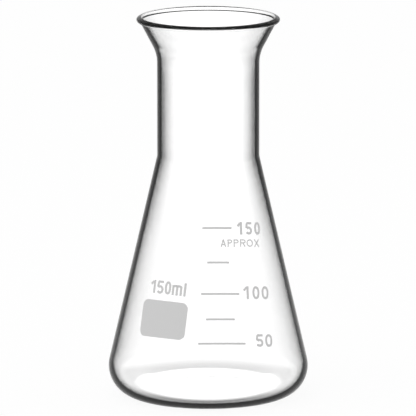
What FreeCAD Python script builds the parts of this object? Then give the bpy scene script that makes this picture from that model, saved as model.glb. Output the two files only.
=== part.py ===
"""Wide-mouth conical flask, blown in one piece, with its printed capacity marks. Millimetres, +Z up."""
import FreeCAD, Part
import math
import os

# Heights of the glass, from the surface that it stands on
body_height = 84.9        # to the line where the cone meets the neck
neck_length = 35.9        # from there to the line where the neck meets the flare
mouth_height = 13.2       # from there to the brim

# Widths of the glass, outside
body_diameter = 70.2      # at its widest, over the heel
neck_diameter = 36.0
mouth_diameter = 47.9     # of the flare, where the lip stands out from it

# Thickness of the glass
wall = 1.5
floor_thickness = 1.75

# The lip: a thickened edge, its end face sloping down from the brim to the lip's widest edge
lip_height = 2.05         # from the brim down to where its underside meets the flare
lip_width = 1.3           # how far its widest edge stands out past the mouth's diameter, on each side
lip_edge_drop = 0.85      # from the brim down to that edge
lip_edge_radius = 0.55
lip_foot_width = 0.6      # the same of its lower edge
lip_foot_drop = 1.9
lip_foot_radius = 0.8
lip_root_radius = 0.25
brim_inner_radius = 0.45

# Rounded turns of the outside
heel_radius = 10.7
shoulder_radius = 1.8
root_radius = 13.2        # between the neck and the flare
# Rounded turns of the inside, which follow the outside's a wall's thickness away
inner_heel_radius = 9.2

# The underside stands on a ring and is pushed up a little inside it
foot_width = 1.5
push_up = 0.2

# Enamel marks, fired on the cone: angles are from the front, -Y, counter-clockwise seen from above
enamel = 0.08
enamel_seat = 0.05        # clearance under the coats, so that their facets never cross the glass
line_height = 0.6
line_angle = 8.1          # of the middle of every capacity line
# capacity in ml: height of the line's middle, length along the glass
capacity_lines = {50: (24.3, 16.8), 75: (32.5, 10.1), 100: (41.0, 13.5), 125: (51.7, 7.6), 150: (63.3, 10.3)}

patch_angle = -31.9       # of the middle of the field that is left for writing on
patch_bottom = 25.4
patch_height = 12.3
patch_width = 18.0        # along the glass, at its lower edge and at its upper
patch_corner_radius = 2.2

FRONT = -90               # the angle of -Y, which faces the viewer

# What follows from those sizes
total_height = body_height + neck_length + mouth_height
root_height = body_height + neck_length
body_r = body_diameter / 2
neck_r = neck_diameter / 2
mouth_r = mouth_diameter / 2
lip_root_height = total_height - lip_height

# The flare's slope from upright, and the cone's, which touches the heel's round and ends at the neck
flare_angle = math.atan2(mouth_r - neck_r, lip_root_height - root_height)
heel_centre_r = body_r - heel_radius
to_neck = (neck_r - heel_centre_r, body_height - heel_radius)
cone_angle = math.atan2(-to_neck[0], to_neck[1]) + math.asin(heel_radius / math.hypot(*to_neck))


def cone_r(height):
    """Outer radius of the cone at a height."""
    return neck_r + (body_height - height) * math.tan(cone_angle)


def flare_inner_r(height):
    """Inner radius of the flare at a height."""
    return neck_r + (height - root_height) * math.tan(flare_angle) - wall / math.cos(flare_angle)


def cone_inner_r(height):
    """Inner radius of the cone at a height."""
    return cone_r(height) - wall / math.cos(cone_angle)


def corner_arc(before, corner, after):
    """Where a round of the corner's radius starts, its middle and its end, as three points."""
    r, z, radius = corner
    to_before = FreeCAD.Vector(before[0] - r, 0, before[1] - z)
    to_after = FreeCAD.Vector(after[0] - r, 0, after[1] - z)
    half_angle = to_before.getAngle(to_after) / 2
    reach = radius / math.tan(half_angle)
    point = FreeCAD.Vector(r, 0, z)
    start = point + to_before.normalize() * reach
    end = point + to_after.normalize() * reach
    inward = (to_before + to_after).normalize()
    middle = point + inward * (radius / math.sin(half_angle) - radius)
    return start, middle, end


def rounded_run(first, corners, last):
    """Straight edges and tangent arcs from the first point, round each corner (r, z, radius), to the last."""
    stops = [first] + corners + [last]
    here = FreeCAD.Vector(first[0], 0, first[1])
    edges = []
    for before, corner, after in zip(stops, stops[1:], stops[2:]):
        start, middle, end = corner_arc(before, corner, after)
        edges.append(Part.LineSegment(here, start).toShape())
        edges.append(Part.Arc(start, middle, end).toShape())
        here = end
    edges.append(Part.LineSegment(here, FreeCAD.Vector(last[0], 0, last[1])).toShape())
    return edges


def dome(edge_r, edge_height, rise):
    """Half of a shallow arc, from the axis out to its edge, which lies lower by the rise."""
    radius = (edge_r ** 2 + rise ** 2) / (2 * rise)
    half_angle = math.asin(edge_r / radius) / 2
    drop = radius * (1 - math.cos(half_angle))
    top = FreeCAD.Vector(0, 0, edge_height + rise)
    middle = FreeCAD.Vector(radius * math.sin(half_angle), 0, edge_height + rise - drop)
    return Part.Arc(top, middle, FreeCAD.Vector(edge_r, 0, edge_height)).toShape()


def flask_outline():
    """The wall's closed section, from the axis under the floor, up the outside, over the lip and down the inside."""
    foot_inner_r = heel_centre_r - foot_width
    heel_run = inner_heel_radius / math.tan((math.pi / 2 - cone_angle) / 2)
    floor_edge_r = cone_inner_r(floor_thickness) - heel_run - foot_width
    outside = [
        (cone_r(0), 0, heel_radius),
        (neck_r, body_height, shoulder_radius),
        (neck_r, root_height, root_radius),
        (mouth_r, lip_root_height, lip_root_radius),
        (mouth_r + lip_foot_width, total_height - lip_foot_drop, lip_foot_radius),
        (mouth_r + lip_width, total_height - lip_edge_drop, lip_edge_radius),
        (flare_inner_r(total_height), total_height, brim_inner_radius),
    ]
    # The inside's corners lie where its straight stretches meet, a wall in from the outside's
    root_rise = wall * (1 / math.cos(flare_angle) - 1) / math.tan(flare_angle)
    shoulder_fall = wall * (1 / math.cos(cone_angle) - 1) / math.tan(cone_angle)
    inside = [
        (neck_r - wall, root_height + root_rise, root_radius + wall),
        (neck_r - wall, body_height - shoulder_fall, shoulder_radius + wall),
        (cone_inner_r(floor_thickness), floor_thickness, inner_heel_radius),
    ]
    underside = dome(foot_inner_r, 0, push_up)
    floor = dome(floor_edge_r, floor_thickness, push_up)
    glass = rounded_run((foot_inner_r, 0), outside + inside, (floor_edge_r, floor_thickness))
    axis = Part.LineSegment(FreeCAD.Vector(0, 0, floor_thickness + push_up), FreeCAD.Vector(0, 0, push_up)).toShape()
    return Part.Wire(Part.__sortEdges__([underside] + glass + [floor, axis]))


def flask_body():
    """The blown glass: its section turned once round the axis."""
    return Part.Face(flask_outline()).revolve(FreeCAD.Vector(0, 0, 0), FreeCAD.Vector(0, 0, 1), 360)


def enamel_coat(bottom, height, middle_angle, length):
    """A coat of enamel on the cone, its lower edge of the given length along the glass."""
    top = bottom + height
    under_r = enamel_seat / math.cos(cone_angle)
    out_r = enamel * math.cos(cone_angle)
    out_z = enamel * math.sin(cone_angle)
    low_r = cone_r(bottom) + under_r
    high_r = cone_r(top) + under_r
    section = [(low_r, bottom), (high_r, top), (high_r + out_r, top + out_z), (low_r + out_r, bottom + out_z)]
    points = [FreeCAD.Vector(r, 0, z) for r, z in section]
    face = Part.Face(Part.makePolygon(points + points[:1]))
    sweep = math.degrees(length / cone_r(bottom))
    coat = face.revolve(FreeCAD.Vector(0, 0, 0), FreeCAD.Vector(0, 0, 1), sweep)
    coat.rotate(FreeCAD.Vector(0, 0, 0), FreeCAD.Vector(0, 0, 1), FRONT + middle_angle - sweep / 2)
    return coat


def graduation_line(height, length):
    """One capacity line, level round the cone."""
    return enamel_coat(height - line_height / 2, line_height, line_angle, length)


def marking_patch():
    """The field for writing on: a larger coat, trimmed to its outline as seen straight on, with round corners."""
    top = patch_bottom + patch_height
    low_x = cone_r(patch_bottom) * math.sin(patch_width / cone_r(patch_bottom) / 2)
    high_x = cone_r(top) * math.sin(patch_width / cone_r(top) / 2)
    corners = [(low_x, patch_bottom, patch_corner_radius), (high_x, top, patch_corner_radius),
               (-high_x, top, patch_corner_radius), (-low_x, patch_bottom, patch_corner_radius)]
    outline = Part.Wire(rounded_run((0, patch_bottom), corners, (0, patch_bottom)))
    trim = Part.Face(outline).extrude(FreeCAD.Vector(0, -body_diameter, 0))
    trim.rotate(FreeCAD.Vector(0, 0, 0), FreeCAD.Vector(0, 0, 1), patch_angle)
    spare = patch_corner_radius
    coat = enamel_coat(patch_bottom - spare, patch_height + 2 * spare, patch_angle, patch_width + 2 * spare)
    return coat.common(trim)


os.makedirs("parts", exist_ok=True)
flask_body().exportStep("parts/flask_body.step")
marking_patch().exportStep("parts/marking_patch.step")
for capacity, (height, length) in capacity_lines.items():
    graduation_line(height, length).exportStep(f"parts/graduation_line_{capacity}.step")
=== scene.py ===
"""Wide-mouth conical flask of clear blown glass, with grey capacity marks, on a white table."""
import math
import bmesh
import bpy
import numpy as np
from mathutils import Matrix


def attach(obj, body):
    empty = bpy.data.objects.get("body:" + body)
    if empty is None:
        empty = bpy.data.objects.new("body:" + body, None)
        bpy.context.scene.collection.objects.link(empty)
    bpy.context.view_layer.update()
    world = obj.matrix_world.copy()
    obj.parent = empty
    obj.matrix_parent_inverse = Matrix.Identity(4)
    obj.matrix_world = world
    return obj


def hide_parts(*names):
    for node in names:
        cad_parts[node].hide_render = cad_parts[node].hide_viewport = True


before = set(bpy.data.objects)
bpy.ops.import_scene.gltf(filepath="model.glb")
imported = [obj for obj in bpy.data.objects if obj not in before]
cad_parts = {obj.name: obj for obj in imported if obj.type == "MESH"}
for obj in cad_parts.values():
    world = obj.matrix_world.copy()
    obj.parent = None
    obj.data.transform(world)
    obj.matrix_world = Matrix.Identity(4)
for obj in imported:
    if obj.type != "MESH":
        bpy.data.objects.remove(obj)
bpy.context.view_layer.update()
MM = 0.001


# The flask: clear borosilicate glass blown in one piece in a turning mould, so it is round all the way up.
# The open end is flared and its edge thickened, then melted smooth. The cone's foot is a soft round heel,
# and the underside stands on a narrow ring with its middle pushed up. Sizes are in millimetres.
total_height = 134.0
body_height = 84.9            # where the cone's line meets the neck's
root_height = 120.8           # where the neck's line meets the flare's
body_r = 34.8
neck_r = 17.78
mouth_r = 23.74               # of the flare, under the lip
heel_radius = 10.7
shoulder_radius = 1.8
root_radius = 13.2
cone_wall = 1.5
neck_wall = 1.48
flare_wall = 1.65
floor_thickness = 1.75
inner_heel_radius = 9.2
foot_width = 1.5
push_up = 0.2
flat_start = 0.02             # a level point this far past each dome's edge, so that the shading turns there
lip_underside_drop = 1.84     # from the brim down to the line where the lip stands out of the flare
lip_root_radius = 0.4
lip_lower = (24.55, 1.93, 0.24)       # radius, drop from the brim and rounding of its lower outer edge
lip_upper = (25.28, 0.88, 0.7)        # the same of its upper outer edge
brim = (23.44, 0.4)                   # radius and rounding of the inner top edge
round_sides = 360

# Its finish
glass_ior = 1.474
skin_sheen = 1.0              # the faint bloom that handling leaves on the skin
skin_sheen_roughness = 0.22
slant_shade_grey = 0.2              # painted shade: grey of the skin where it turns from the eye
slant_from, slant_to = 0.25, 0.5      # how far it has turned where that painted shade starts, and where it is full
# part of the height, and the share of that painted shade there
slant_shade_shares = ((0.2, 0.12), (0.42, 0.3), (0.62, 1.0), (0.84, 1.0), (1.0, 0.2))
flow_scale = 60.0
flow_stretch = 0.15           # the flow marks run upwards, so they are drawn out by one over this
flow_least, flow_most = 0.9, 1.1
lip_band = (1.3, 1.1)         # below the brim, where the lip's painted shade and its roughness start and are full
lip_inner_lean = -0.5         # skin that leans further inwards than this is the flare's inside, not the lip
# painted shade: the lip's darker grey, for what the camera sees first
lip_shade_grey = 0.1
lip_roughness = 0.3

heel_centre_r = body_r - heel_radius
to_neck = (neck_r - heel_centre_r, body_height - heel_radius)
cone_angle = math.atan2(-to_neck[0], to_neck[1]) + math.asin(heel_radius / math.hypot(*to_neck))
lip_root_height = total_height - lip_underside_drop
flare_angle = math.atan2(mouth_r - neck_r, lip_root_height - root_height)


def cone_r(height):
    """Outer radius of the cone: the neck's radius, wider below by the tangent of the cone's angle."""
    return neck_r + (body_height - height) * math.tan(cone_angle)


def round_turn(before, corner, after, steps):
    """Points and normals of the arc that touches both straight runs of a corner (radius, height, rounding).

    Its centre lies on the line that halves the corner, at the rounding over the sine of half the angle.
    """
    point, rounding = np.array(corner[:2]), corner[2]
    back = np.array(before[:2]) - point
    on = np.array(after[:2]) - point
    back /= np.linalg.norm(back)
    on /= np.linalg.norm(on)
    half = 0.5 * math.acos(float(back @ on))
    centre = point + (back + on) / np.linalg.norm(back + on) * rounding / math.sin(half)
    first = point + back * rounding / math.tan(half) - centre
    last = point + on * rounding / math.tan(half) - centre
    start = math.atan2(first[1], first[0])
    sweep = (math.atan2(last[1], last[0]) - start + math.pi) % (2 * math.pi) - math.pi
    angle = start + sweep * np.linspace(0.0, 1.0, steps)
    ray = np.column_stack([np.cos(angle), np.sin(angle)])
    return centre + rounding * ray, math.copysign(1.0, sweep) * ray


def shallow_dome(edge_r, edge_height, rise, side, steps=14):
    """Points and normals from the axis to the edge of a cap cut from a ball; side is 1 above and -1 below.

    The ball's radius is the edge's radius squared plus the rise squared, over twice the rise.
    """
    ball = (edge_r ** 2 + rise ** 2) / (2 * rise)
    r = np.linspace(0.0, edge_r, steps)
    up = np.sqrt(ball ** 2 - r ** 2)
    return np.column_stack([r, edge_height + rise - ball + up]), side * np.column_stack([r, up]) / ball


def flask_section():
    """The wall's outline from the axis under the floor, up the outside, over the lip and down the inside.

    Each turn is a corner's radius, height and rounding, with the number of points on its arc.
    """
    foot_r = heel_centre_r - foot_width
    floor_corner_r = cone_r(floor_thickness) - cone_wall / math.cos(cone_angle)
    floor_r = floor_corner_r - inner_heel_radius / math.tan((math.pi / 2 - cone_angle) / 2) - foot_width
    root_rise = (flare_wall / math.cos(flare_angle) - neck_wall) / math.tan(flare_angle)
    shoulder_fall = (cone_wall / math.cos(cone_angle) - neck_wall) / math.tan(cone_angle)
    turns = [
        (foot_r, 0, 0, 0),
        (cone_r(0), 0, heel_radius, 30),
        (neck_r, body_height, shoulder_radius, 8),
        (neck_r, root_height, root_radius, 16),
        (mouth_r, lip_root_height, lip_root_radius, 8),
        (lip_lower[0], total_height - lip_lower[1], lip_lower[2], 10),
        (lip_upper[0], total_height - lip_upper[1], lip_upper[2], 12),
        (brim[0], total_height, brim[1], 12),
        (neck_r - neck_wall, root_height + root_rise, root_radius + neck_wall, 16),
        (neck_r - neck_wall, body_height - shoulder_fall, shoulder_radius + neck_wall, 8),
        (floor_corner_r, floor_thickness, inner_heel_radius, 30),
        (floor_r, floor_thickness, 0, 0),
    ]
    under, under_normal = shallow_dome(foot_r, 0.0, push_up, -1)
    floor, floor_normal = shallow_dome(floor_r, floor_thickness, push_up, 1)
    points, normals = [under, [(foot_r + flat_start, 0.0)]], [under_normal, [(0.0, -1.0)]]
    for before, corner, after in zip(turns, turns[1:], turns[2:]):
        arc, arc_normal = round_turn(before, corner[:3], after, corner[3])
        points.append(arc)
        normals.append(arc_normal)
    points += [[(floor_r + flat_start, floor_thickness)], floor[::-1]]
    normals += [[(0.0, 1.0)], floor_normal[::-1]]
    return np.concatenate(points), np.concatenate(normals)


def turned(name, points, normals, sides):
    """A closed solid of revolution: each section point carried round the axis, both ends closed on it.

    A point's place is its radius times the cosine and sine of the turn, at its own height.
    """
    turn = np.linspace(0.0, 2 * math.pi, sides, endpoint=False)
    around = np.stack([np.cos(turn), np.sin(turn)], -1)

    def carried(section):
        """Every ring of the section, then the two end points on the axis."""
        flat = section[1:-1, None, :1] * around
        rise = np.broadcast_to(section[1:-1, None, 1:], flat.shape[:2] + (1,))
        ends = [(0, 0, section[0, 1]), (0, 0, section[-1, 1])]
        return np.vstack([np.concatenate([flat, rise], -1).reshape(-1, 3), ends])

    rings = len(points) - 2
    place = carried(points)
    here = np.arange(sides)
    there = (here + 1) % sides
    level = np.arange(rings - 1)[:, None] * sides
    quads = np.stack([level + here, level + there, level + sides + there, level + sides + here], -1)
    low_pole, high_pole = len(place) - 2, len(place) - 1
    top = (rings - 1) * sides
    fan_low = np.column_stack([np.full(sides, low_pole), there, here])
    fan_high = np.column_stack([np.full(sides, high_pole), top + here, top + there])
    faces = quads.reshape(-1, 4).tolist() + fan_low.tolist() + fan_high.tolist()
    mesh = bpy.data.meshes.new(name)
    mesh.from_pydata((place * MM).tolist(), [], faces)
    mesh.polygons.foreach_set("use_smooth", np.ones(len(faces), bool))
    mesh.normals_split_custom_set_from_vertices(carried(normals).tolist())
    mesh.update()
    piece = bpy.data.objects.new(name, mesh)
    bpy.context.scene.collection.objects.link(piece)
    return piece


def feed(tree, socket, value):
    """Sets a socket to a number or a vector, or links another node's output to it."""
    if isinstance(value, bpy.types.NodeSocket):
        tree.links.new(value, socket)
    elif value is not None:
        socket.default_value = value


def maths(tree, operation, first, second, third=None):
    """The result of one Math node."""
    node = tree.nodes.new("ShaderNodeMath")
    node.operation = operation
    for socket, value in zip(node.inputs, (first, second, third)):
        feed(tree, socket, value)
    return node.outputs["Value"]


def vector_maths(tree, operation, first, second=None):
    """The vector result of one Vector Math node, or for a dot product and a length its number."""
    node = tree.nodes.new("ShaderNodeVectorMath")
    node.operation = operation
    feed(tree, node.inputs[0], first)
    feed(tree, node.inputs[1], second)
    return node.outputs["Value" if operation in ("DOT_PRODUCT", "LENGTH") else "Vector"]


def ranged(tree, value, low, high, to_low=0.0, to_high=1.0, smooth=False):
    """The value carried from low..high to to_low..to_high by one Map Range node, and held at its ends."""
    node = tree.nodes.new("ShaderNodeMapRange")
    if smooth:
        node.interpolation_type = "SMOOTHSTEP"
    sockets = ("Value", "From Min", "From Max", "To Min", "To Max")
    for socket, given in zip(sockets, (value, low, high, to_low, to_high)):
        feed(tree, node.inputs[socket], given)
    return node.outputs["Result"]


def grey_ramp(tree, value, marks):
    """A grey that runs straight between marks, each a position and the grey there, in rising order."""
    node = tree.nodes.new("ShaderNodeValToRGB")
    stops = node.color_ramp.elements
    for position, grey in marks[1:-1]:
        stops.new(position)
    for stop, (position, grey) in zip(stops, marks):
        stop.position = position
        stop.color = (grey, grey, grey, 1.0)
    tree.links.new(value, node.inputs["Fac"])
    return node.outputs["Color"]


def toned(tree, share, plain, grey):
    """The plain colour where the share is 0, the even grey where it is 1."""
    node = tree.nodes.new("ShaderNodeMix")
    node.data_type = "RGBA"
    feed(tree, node.inputs["Factor"], share)
    feed(tree, node.inputs["A"], plain)
    node.inputs["B"].default_value = (grey, grey, grey, 1.0)
    return node.outputs["Result"]


def clear_glass():
    """Clear glass with painted shade: greyer where it is seen at a slant, most so in the neck, streaked by
    faint flow marks of blowing.

    The lip has a darker painted shade where the camera sees it, and a little roughness from its second
    melting.
    """
    material = bpy.data.materials.new("clear blown glass")
    material.use_nodes = True
    tree = material.node_tree
    nodes, links = tree.nodes, tree.links
    shader = nodes["Principled BSDF"]
    shader.inputs["Transmission Weight"].default_value = 1.0
    shader.inputs["IOR"].default_value = glass_ior
    shader.inputs["Sheen Weight"].default_value = skin_sheen
    shader.inputs["Sheen Roughness"].default_value = skin_sheen_roughness
    seen = nodes.new("ShaderNodeLightPath").outputs["Is Camera Ray"]
    place = nodes.new("ShaderNodeTexCoord").outputs["Object"]
    split = nodes.new("ShaderNodeSeparateXYZ")
    links.new(place, split.inputs["Vector"])
    part_way_up = maths(tree, "MULTIPLY", split.outputs["Z"], 1 / (total_height * MM))

    # Painted shade: the base colour greys where the skin turns from the eye, only for what the camera sees
    # first, and the flow marks vary how much
    slant = nodes.new("ShaderNodeLayerWeight")
    slant.inputs["Blend"].default_value = 0.5
    turned_away = ranged(tree, slant.outputs["Facing"], slant_from, slant_to)
    by_height = maths(tree, "MULTIPLY", turned_away, grey_ramp(tree, part_way_up, slant_shade_shares))
    drawn_out = nodes.new("ShaderNodeMapping")
    drawn_out.inputs["Scale"].default_value = (1.0, 1.0, flow_stretch)
    links.new(place, drawn_out.inputs["Vector"])
    flow = nodes.new("ShaderNodeTexNoise")
    flow.inputs["Scale"].default_value = flow_scale
    flow.inputs["Detail"].default_value = 1.0
    links.new(drawn_out.outputs["Vector"], flow.inputs["Vector"])
    marks = ranged(tree, flow.outputs["Fac"], 0.0, 1.0, flow_least, flow_most)
    streaked = maths(tree, "MULTIPLY", by_height, marks)
    tone = toned(tree, maths(tree, "MULTIPLY", streaked, seen), (1.0, 1.0, 1.0, 1.0), slant_shade_grey)

    # Painted shade on the lip: its base colour is darkened for what the camera sees first, and it is given a
    # little roughness
    outward = vector_maths(tree, "NORMALIZE", vector_maths(tree, "MULTIPLY", place, (1.0, 1.0, 0.0)))
    skin = nodes.new("ShaderNodeNewGeometry")
    lean = vector_maths(tree, "DOT_PRODUCT", outward, skin.outputs["Normal"])
    not_inside = maths(tree, "GREATER_THAN", lean, lip_inner_lean)
    near_brim = ranged(tree, part_way_up, 1 - lip_band[0] / total_height, 1 - lip_band[1] / total_height)
    on_lip = maths(tree, "MULTIPLY", not_inside, near_brim)
    tone = toned(tree, maths(tree, "MULTIPLY", on_lip, seen), tone, lip_shade_grey)
    links.new(tone, shader.inputs["Base Color"])
    links.new(maths(tree, "MULTIPLY", on_lip, lip_roughness), shader.inputs["Roughness"])
    return material


section_points, section_normals = flask_section()
flask = turned("blown_flask", section_points, section_normals, round_sides)
flask.data.materials.append(clear_glass())
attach(flask, "root")
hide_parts("flask_body")


# The marking field: a matt grey patch of fired enamel for pencil notes, with round corners. It comes off a
# flat transfer sheet, which wraps round the cone without stretching and then burns away in the kiln.
enamel_under = 0.02           # how far the coat's two faces lie from the glass
enamel_over = 0.09
left_sheet_angle = -31.4      # of the sheet's middle, from the front
field_left, field_right = -9.5, 8.9
field_bottom, field_top = 26.2, 39.1
field_corner = 2.2
field_grey = 0.61
field_clouding = 0.02
FRONT = -90.0                 # the turn of the side that faces the camera

# The enamel's finish: sizes of its clouding and grain, the roughness between the grain's lows and highs,
# and how far the grain stands up
cloud_scale = 350.0
grain_scale = 6000.0
smoothest, roughest = 0.5, 0.7
grain_depth = 0.01 * MM
grain_strength = 0.3
enamel_gloss = 0.15


def laid_on_cone(flat, sheet_angle, lift):
    """Points of a flat sheet, x across and y up from the foot's ring, on the cone.

    The sheet's distance and angle from the cone's tip stay the same when it is wrapped: the angle round the
    axis is the angle at the tip over the sine of the cone's angle.
    """
    tip_height = body_height + neck_r / math.tan(cone_angle)
    slant = tip_height / math.cos(cone_angle)
    x, up = flat[..., 0], slant - flat[..., 1]
    reach = np.hypot(x, up)
    turn = math.radians(sheet_angle + FRONT) + np.arctan2(x, up) / math.sin(cone_angle)
    radius = reach * math.sin(cone_angle) + lift * math.cos(cone_angle)
    height = tip_height - reach * math.cos(cone_angle) + lift * math.sin(cone_angle)
    return np.stack([radius * np.cos(turn), radius * np.sin(turn), height], -1)


def thin_coat(name, grids, sheet_angle):
    """Closed thin coats: each flat grid laid on the cone twice, the two layers joined along their borders."""
    places, faces, start = [], [], 0
    for flat, closed in grids:
        rows, columns = flat.shape[:2]
        count = rows * columns
        for lift in (enamel_under, enamel_over):
            places.append(laid_on_cone(flat, sheet_angle, lift).reshape(-1, 3))
        index = start + np.arange(count).reshape(rows, columns)
        if closed:
            index = np.vstack([index, index[:1]])
        under, over = index, index + count
        for layer in (under, over):
            faces.append(np.stack([layer[:-1, :-1], layer[:-1, 1:], layer[1:, 1:], layer[1:, :-1]], -1))
        borders = [(under[:, 0], over[:, 0]), (under[:, -1], over[:, -1])]
        if not closed:
            borders += [(under[0], over[0]), (under[-1], over[-1])]
        for low, high in borders:
            faces.append(np.stack([low[:-1], low[1:], high[1:], high[:-1]], -1))
        start += 2 * count
    mesh = bpy.data.meshes.new(name)
    quads = np.concatenate([f.reshape(-1, 4) for f in faces])
    mesh.from_pydata((np.concatenate(places) * MM).tolist(), [], quads.tolist())
    shape = bmesh.new()
    shape.from_mesh(mesh)
    bmesh.ops.recalc_face_normals(shape, faces=shape.faces)
    shape.to_mesh(mesh)
    shape.free()
    piece = bpy.data.objects.new(name, mesh)
    bpy.context.scene.collection.objects.link(piece)
    return piece


def rounded_field(left, right, bottom, top, corner):
    """A grid whose rows shorten near the top and bottom, so that its corners follow quarter circles.

    A row is shortened by the corner less the root of its square minus the square of the way to its centre.
    """
    quarter = corner * (1 - np.cos(np.linspace(0.0, math.pi / 2, 10)))
    between = np.linspace(bottom + corner, top - corner, 12)[1:-1]
    rows = np.concatenate([bottom + quarter, between, (top - quarter)[::-1]])
    near = np.clip(corner - np.minimum(rows - bottom, top - rows), 0.0, corner)
    inset = corner - np.sqrt(corner ** 2 - near ** 2)
    across = np.linspace(0.0, 1.0, 41)
    x = (left + inset)[:, None] + (right - left - 2 * inset)[:, None] * across
    return np.stack([x, np.repeat(rows[:, None], len(across), 1)], -1)


def enamel_grain():
    """A group for fired enamel: slow clouding of its tone, a fine dry grain, and the roughness to match."""
    group = bpy.data.node_groups.new("fired enamel grain", "ShaderNodeTree")
    group.interface.new_socket("Tone", in_out="INPUT", socket_type="NodeSocketColor")
    for name in ("Clouding", "Grain"):
        group.interface.new_socket(name, in_out="INPUT", socket_type="NodeSocketFloat")
    group.interface.new_socket("Colour", in_out="OUTPUT", socket_type="NodeSocketColor")
    for name in ("Roughness", "Height"):
        group.interface.new_socket(name, in_out="OUTPUT", socket_type="NodeSocketFloat")
    nodes, links = group.nodes, group.links
    given, out = nodes.new("NodeGroupInput"), nodes.new("NodeGroupOutput")
    place = nodes.new("ShaderNodeTexCoord")
    cloud, grain = nodes.new("ShaderNodeTexNoise"), nodes.new("ShaderNodeTexNoise")
    for noise, scale, detail in ((cloud, cloud_scale, 2.0), (grain, grain_scale, 3.0)):
        noise.inputs["Scale"].default_value = scale
        noise.inputs["Detail"].default_value = detail
        links.new(place.outputs["Object"], noise.inputs["Vector"])
    shift = maths(group, "SUBTRACT", cloud.outputs["Fac"], 0.5)
    amount = maths(group, "MULTIPLY_ADD", shift, given.outputs["Clouding"], 1.0)
    clouded = nodes.new("ShaderNodeVectorMath")
    clouded.operation = "SCALE"
    links.new(given.outputs["Tone"], clouded.inputs["Vector"])
    links.new(amount, clouded.inputs["Scale"])
    links.new(clouded.outputs["Vector"], out.inputs["Colour"])
    links.new(ranged(group, grain.outputs["Fac"], 0.0, 1.0, smoothest, roughest), out.inputs["Roughness"])
    links.new(maths(group, "MULTIPLY", grain.outputs["Fac"], given.outputs["Grain"]), out.inputs["Height"])
    return group


grain_group = enamel_grain()


def enamel(name, grey, clouding):
    """Opaque grey enamel with the shared grain."""
    material = bpy.data.materials.new(name)
    material.use_nodes = True
    nodes, links = material.node_tree.nodes, material.node_tree.links
    shader = nodes["Principled BSDF"]
    shader.inputs["Specular IOR Level"].default_value = enamel_gloss
    fired = nodes.new("ShaderNodeGroup")
    fired.node_tree = grain_group
    fired.inputs["Tone"].default_value = (grey, grey, grey, 1.0)
    fired.inputs["Clouding"].default_value = clouding
    fired.inputs["Grain"].default_value = 1.0
    bump = nodes.new("ShaderNodeBump")
    bump.inputs["Strength"].default_value = grain_strength
    bump.inputs["Distance"].default_value = grain_depth
    links.new(fired.outputs["Colour"], shader.inputs["Base Color"])
    links.new(fired.outputs["Roughness"], shader.inputs["Roughness"])
    links.new(fired.outputs["Height"], bump.inputs["Height"])
    links.new(bump.outputs["Normal"], shader.inputs["Normal"])
    return material


field_grid = rounded_field(field_left, field_right, field_bottom, field_top, field_corner)
marking_field = thin_coat("marking_field", [(field_grid, False)], left_sheet_angle)
marking_field.data.materials.append(enamel("matt grey marking enamel", field_grey, field_clouding))
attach(marking_field, "root")
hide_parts("marking_patch")


# The capacity lines: five short grey strokes of the same enamel, printed from one sheet up the front of the
# cone. The sheet went on very slightly turned, so the lines fall a little to the right.
right_sheet_angle = 7.7
line_height = 0.66
line_turn = math.radians(-1.4)
line_grey = 0.565
line_clouding = 0.04
# capacity in ml: height up the sheet, left end, right end
capacity_lines = {150: (65.06, -5.13, 5.16), 125: (53.12, -3.79, 3.85), 100: (42.24, -6.27, 7.24),
                  75: (33.44, -4.82, 5.27), 50: (25.04, -7.8, 8.95)}


def stroke(path, width, closed=False):
    """A flat ribbon: each point of the path steps half the width to both sides, square to the run there."""
    if closed:
        run = np.roll(path, -1, 0) - np.roll(path, 1, 0)
    else:
        run = np.gradient(path, axis=0)
    run = run / np.linalg.norm(run, axis=1)[:, None]
    side = np.column_stack([-run[:, 1], run[:, 0]]) * width / 2
    return np.stack([path + side, path - side], 1), closed


def straight(start, end, steps=12):
    """Even points: the start plus an even share of the way to the end."""
    return np.array(start) + np.linspace(0.0, 1.0, steps)[:, None] * (np.array(end) - np.array(start))


line_enamel = enamel("grey line enamel", line_grey, line_clouding)
for capacity, (height, left, right) in capacity_lines.items():
    middle = (left + right) / 2
    drop = math.tan(line_turn)
    path = straight((left, height + drop * (left - middle)), (right, height + drop * (right - middle)), 40)
    line = thin_coat(f"capacity_line_{capacity}", [stroke(path, line_height)], right_sheet_angle)
    line.data.materials.append(line_enamel)
    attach(line, "root")
    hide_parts(f"graduation_line_{capacity}")


# The figures and words: the same enamel in upright sans-serif letters, the figures bold and the small word
# thin, drawn as pen strokes of even width. They stand on straight lines of the transfer sheets.
figure_grey = 0.59
figure_pen = 0.83
word_pen = 0.41


def bow(centre, reach, first, last, steps=28, power=2.0):
    """Part of a rounded ring: cosine and sine of the angle, each bent by the power, times the reach."""
    angle = np.radians(np.linspace(first, last, steps))
    cos, sin = np.cos(angle), np.sin(angle)
    return np.column_stack([centre[0] + reach[0] * np.sign(cos) * np.abs(cos) ** (2 / power),
                            centre[1] + reach[1] * np.sign(sin) * np.abs(sin) ** (2 / power)])


def ring(width, pen, power):
    """A closed oval as wide as the letter and one letter high, less the pen."""
    path = bow((width / 2, 0.5), (width / 2 - pen / 2, 0.5 - pen / 2), 0, 360, 61, power)[:-1]
    return path, True


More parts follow.
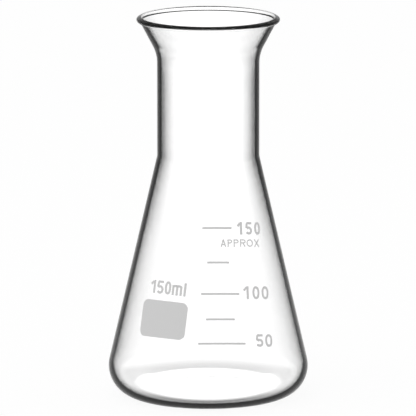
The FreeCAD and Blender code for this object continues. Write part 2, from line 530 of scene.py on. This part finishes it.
def glyph(letter, width, pen):
    """Paths of a letter that stands on y = 0 and is 1 high, x from 0 to its width."""
    half = pen / 2
    if letter == "0":
        return [ring(width, pen, 2.3)]
    if letter == "O":
        return [ring(width, pen, 2.1)]
    if letter == "1":
        return [(straight((width - half, 0), (width - half, 1)), False),
                (straight((width - pen, 0.90), (0.03, 0.67)), False)]
    if letter == "5":
        bowl = bow((width / 2 - 0.01, 0.32), (width / 2 - half + 0.01, 0.32 - half), 140, -152, 40, 2.1)
        return [(straight((0.16 * width, 1 - half), (0.94 * width, 1 - half)), False),
                (straight((0.20 * width, 1 - half), (0.11 * width, 0.50)), False), (bowl, False)]
    if letter == "m":
        arch = (width - pen) / 2
        paths = []
        for n, top in enumerate((0.78, 0.66, 0.66)):
            paths.append((straight((half + n * arch, 0), (half + n * arch, top)), False))
        for n in range(2):
            middle = half + (n + 0.5) * arch
            paths.append((bow((middle, 0.64), (arch / 2, 0.16 - half), 180, 0, 20, 2.4), False))
        return paths
    if letter == "l":
        return [(straight((half, 0), (half, 1.0)), False)]
    if letter == "A":
        return [(straight((half, 0), (width / 2, 1)), False),
                (straight((width - half, 0), (width / 2, 1)), False),
                (straight((0.2 * width, 0.32), (0.8 * width, 0.32)), False)]
    if letter == "X":
        return [(straight((half, 0), (width - half, 1)), False),
                (straight((half, 1), (width - half, 0)), False)]
    # P, and R with a leg more
    bowl = bow((0.55 * width, 0.73), (0.45 * width - half, 0.27 - half), 90, -90, 20, 2.2)
    bowl = np.vstack([(half, 1 - half), bowl, (half, 0.46 + half)])
    paths = [(straight((half, 0), (half, 1)), False), (bowl, False)]
    if letter == "R":
        paths.append((straight((0.5 * width, 0.47), (width - half, 0)), False))
    return paths


def lettering(name, letters, bottom, height, pen, sheet_angle, material):
    """Letters of one line: each is drawn 1 high between its left and right edge, then scaled up."""
    grids = []
    for letter, left, right in letters:
        for path, closed in glyph(letter, (right - left) / height, pen / height):
            grids.append(stroke(path * height + (left, bottom), pen, closed))
    piece = thin_coat(name, grids, sheet_angle)
    piece.data.materials.append(material)
    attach(piece, "root")


figure_enamel = enamel("grey figure enamel", figure_grey, line_clouding)
lettering("figure_150", [("1", 7.25, 9.14), ("5", 10.59, 13.27), ("0", 14.38, 17.16)],
          62.64, 4.4, figure_pen, right_sheet_angle, figure_enamel)
lettering("word_approx", [("A", 0.99, 3.06), ("P", 3.52, 5.18), ("P", 5.74, 7.58), ("R", 8.17, 10.38),
                          ("O", 10.79, 13.39), ("X", 13.86, 16.36)],
          58.42, 2.6, word_pen, right_sheet_angle, figure_enamel)
lettering("figure_100", [("1", 8.80, 10.84), ("0", 12.35, 15.28), ("0", 16.28, 19.50)],
          40.24, 4.5, figure_pen, right_sheet_angle, figure_enamel)
lettering("figure_50", [("5", 13.06, 16.04), ("0", 16.91, 20.08)],
          23.69, 4.4, figure_pen, right_sheet_angle, figure_enamel)
lettering("words_150_ml", [("1", -6.8, -4.7), ("5", -3.9, -1.15), ("0", -0.65, 1.85),
                           ("m", 2.25, 6.05), ("l", 6.65, 7.3)],
          41.36, 4.6, figure_pen, left_sheet_angle, figure_enamel)


# The table and the room: an even white all round, as in a light tent. White stays white where it is seen
# straight or through clear glass, and the light that has been turned back inside the glass comes out dark.
clear_level = 1.25            # brightness seen through the glass
inner_level = 0.03            # of light that the glass has turned back inside itself, down to the table
wall_level = 1.20             # of the same light where the floor has turned it up, through the far wall
skin_level = 0.08             # of what its outer skin mirrors
ceiling_level = 0.08          # share of all these that is left overhead
white_up_to, dark_from = 10.0, 25.0     # degrees above the horizon between which the room darkens
room_light = 0.8              # of the room's light on the object, against the white that the camera sees
pool_level = 1.9              # of the light that the flask's floor gathers on the table, seen through it
pool_across, pool_along = 26.5, 31.0    # half sizes of that pool, in millimetres
pool_middle = 10.0            # and how far behind the flask's axis it lies
pool_edge = (0.88, 1.06)      # its soft edge, in parts of its size
pool_shade_end = 1.8          # the table's shaded rim round the pool fades out at so many times its size
rim_front, rim_back = -30.0, 45.0       # the shaded rim's tone runs from front to back, in millimetres
rim_shares = ((0.0, 0.2), (0.16, 0.3), (0.29, 0.66), (0.4, 0.98), (0.56, 1.0), (0.77, 0.84),
              (0.95, 0.68), (1.0, 0.68))
table_half = 3.0              # in metres
table_grey = 0.98
shadow_share = 0.07           # how much of the object's shadow the white table shows


def choose(tree, test, yes, no):
    """The first value where the test is 1, the second where it is 0."""
    node = tree.nodes.new("ShaderNodeMix")
    feed(tree, node.inputs["Factor"], test)
    feed(tree, node.inputs["B"], yes)
    feed(tree, node.inputs["A"], no)
    return node.outputs["Result"]


def white_level(tree, far_level, seen_level, share=1.0, light=1.0):
    """The white's strength by the way that the light has come; what the camera sees straight is always 1.

    Light straight through the glass gets seen_level. What the outer skin mirrors gets skin_level. Light that
    the glass has turned back gets far_level if it has crossed four faces or more, or else inner_level. The
    share scales all of these. Light that enamel or sheen has scattered gets inner_level where it has crossed
    few faces, and is whole otherwise. The light scales everything but what the camera sees.
    """
    way = tree.nodes.new("ShaderNodeLightPath")
    mirrored = maths(tree, "GREATER_THAN", way.outputs["Glossy Depth"], 0.5)
    through = maths(tree, "GREATER_THAN", way.outputs["Transmission Depth"], 0.5)
    scattered = maths(tree, "GREATER_THAN", way.outputs["Diffuse Depth"], 0.5)
    far = maths(tree, "GREATER_THAN", way.outputs["Transmission Depth"], 3.5)
    straight_through = choose(tree, through, seen_level, 1.0)
    turned_back = choose(tree, far, far_level, choose(tree, through, inner_level, skin_level))
    level = choose(tree, mirrored, turned_back, straight_through)
    by_glass = maths(tree, "MAXIMUM", mirrored, through)
    level = maths(tree, "MULTIPLY", level, choose(tree, by_glass, share, 1.0))
    level = choose(tree, scattered, choose(tree, through, choose(tree, far, 1.0, inner_level), 1.0), level)
    level = maths(tree, "MULTIPLY", level, light)
    return choose(tree, way.outputs["Is Camera Ray"], 1.0, level), way


def pool_and_rim(tree):
    """What the table shows through the flask: a bright oval pool, a shaded rim round it, and white beyond.

    The reach is 1 on the oval's edge: the length of the place less its middle, over its half sizes.
    """
    place = tree.nodes.new("ShaderNodeTexCoord").outputs["Object"]
    from_pool = tree.nodes.new("ShaderNodeMapping")
    from_pool.vector_type = "TEXTURE"
    from_pool.inputs["Location"].default_value = (0.0, pool_middle * MM, 0.0)
    from_pool.inputs["Scale"].default_value = (pool_across * MM, pool_along * MM, 1.0)
    tree.links.new(place, from_pool.inputs["Vector"])
    reach = vector_maths(tree, "LENGTH", from_pool.outputs["Vector"])
    split = tree.nodes.new("ShaderNodeSeparateXYZ")
    tree.links.new(place, split.inputs["Vector"])
    part_way_back = ranged(tree, split.outputs["Y"], rim_front * MM, rim_back * MM)
    rim_level = maths(tree, "MULTIPLY", grey_ramp(tree, part_way_back, rim_shares), clear_level)
    around = ranged(tree, reach, 1.0, pool_shade_end, rim_level, clear_level, smooth=True)
    return choose(tree, ranged(tree, reach, *pool_edge, smooth=True), around, pool_level)


table_mesh = bpy.data.meshes.new("table")
corners = [(-table_half, -table_half, 0), (table_half, -table_half, 0),
           (table_half, table_half, 0), (-table_half, table_half, 0)]
table_mesh.from_pydata(corners, [], [(0, 1, 2, 3)])
table = bpy.data.objects.new("table", table_mesh)
bpy.context.scene.collection.objects.link(table)
table_white = bpy.data.materials.new("white table")
table_white.use_nodes = True
tree = table_white.node_tree
tree.nodes.clear()
level, way = white_level(tree, inner_level, pool_and_rim(tree))
glow = tree.nodes.new("ShaderNodeEmission")
tree.links.new(level, glow.inputs["Strength"])
shaded = tree.nodes.new("ShaderNodeBsdfDiffuse")
shaded.inputs["Color"].default_value = (table_grey, table_grey, table_grey, 1.0)
blend = tree.nodes.new("ShaderNodeMixShader")
keep_shadow = maths(tree, "MULTIPLY", way.outputs["Is Camera Ray"], shadow_share)
tree.links.new(keep_shadow, blend.inputs["Fac"])
tree.links.new(glow.outputs["Emission"], blend.inputs[1])
tree.links.new(shaded.outputs["BSDF"], blend.inputs[2])
out = tree.nodes.new("ShaderNodeOutputMaterial")
tree.links.new(blend.outputs["Shader"], out.inputs["Surface"])
table_mesh.materials.append(table_white)

room = bpy.data.worlds.new("white room")
bpy.context.scene.world = room
room.use_nodes = True
tree = room.node_tree
tree.nodes.clear()
direction = tree.nodes.new("ShaderNodeTexCoord")
upward = tree.nodes.new("ShaderNodeSeparateXYZ")
tree.links.new(direction.outputs["Generated"], upward.inputs["Vector"])
low_height, high_height = math.sin(math.radians(white_up_to)), math.sin(math.radians(dark_from))
overhead = ranged(tree, upward.outputs["Z"], low_height, high_height, 1.0, ceiling_level, smooth=True)
level, way = white_level(tree, wall_level, clear_level, overhead, room_light)
sky = tree.nodes.new("ShaderNodeBackground")
sky.inputs["Color"].default_value = (1.0, 1.0, 1.0, 1.0)
tree.links.new(level, sky.inputs["Strength"])
out = tree.nodes.new("ShaderNodeOutputWorld")
tree.links.new(sky.outputs["Background"], out.inputs["Surface"])


# One wide soft lamp hangs over the table, to the left and in front. It gives the enamel its shape and the
# table its faint shadow, and the glass doesn't show it. Sizes are in metres, its power in watts.
lamp_width = 1.2
lamp_power = 5.8
lamp_place = (-0.5, -0.5, 1.6)
lamp_tilt = (math.radians(22), math.radians(-16), 0.0)
lamp_data = bpy.data.lights.new("soft box", "AREA")
lamp_data.shape = "DISK"
lamp_data.size = lamp_width
lamp_data.energy = lamp_power
lamp = bpy.data.objects.new("soft box", lamp_data)
lamp.location = lamp_place
lamp.rotation_euler = lamp_tilt
lamp.visible_camera = False
lamp.visible_glossy = False
lamp.visible_transmission = False
bpy.context.scene.collection.objects.link(lamp)

# Light crosses many thin walls here, so the paths may be long
longest_path = 80
cycles = bpy.context.scene.cycles
cycles.max_bounces = longest_path
cycles.transmission_bounces = longest_path
cycles.glossy_bounces = longest_path


# The camera: a long lens, a little above the flask, as the photograph was taken. Its distance is given in
# the picture's pixels, of which a millimetre of the flask has pixels_per_mm.
picture_width = 416.0
picture_shift = -0.25         # in pixels
sensor_width = 36.0
pixels_per_mm = 2.87
camera_reach = 8000.0
camera_tilt = math.radians(10.25)
aim_height = 190.3
camera_data = bpy.data.cameras.new("camera")
camera_data.sensor_width = sensor_width
camera_data.lens = sensor_width * camera_reach / picture_width
camera_data.shift_x = picture_shift / picture_width
camera_data.clip_end = 100.0
camera = bpy.data.objects.new("camera", camera_data)
distance = camera_reach / pixels_per_mm * MM
aim = aim_height / pixels_per_mm * MM
camera.location = (0.0, -distance * math.cos(camera_tilt), aim + distance * math.sin(camera_tilt))
camera.rotation_euler = (math.radians(90) - camera_tilt, 0.0, 0.0)
bpy.context.scene.collection.objects.link(camera)
bpy.context.scene.camera = camera
bpy.context.scene.view_settings.view_transform = "Standard"
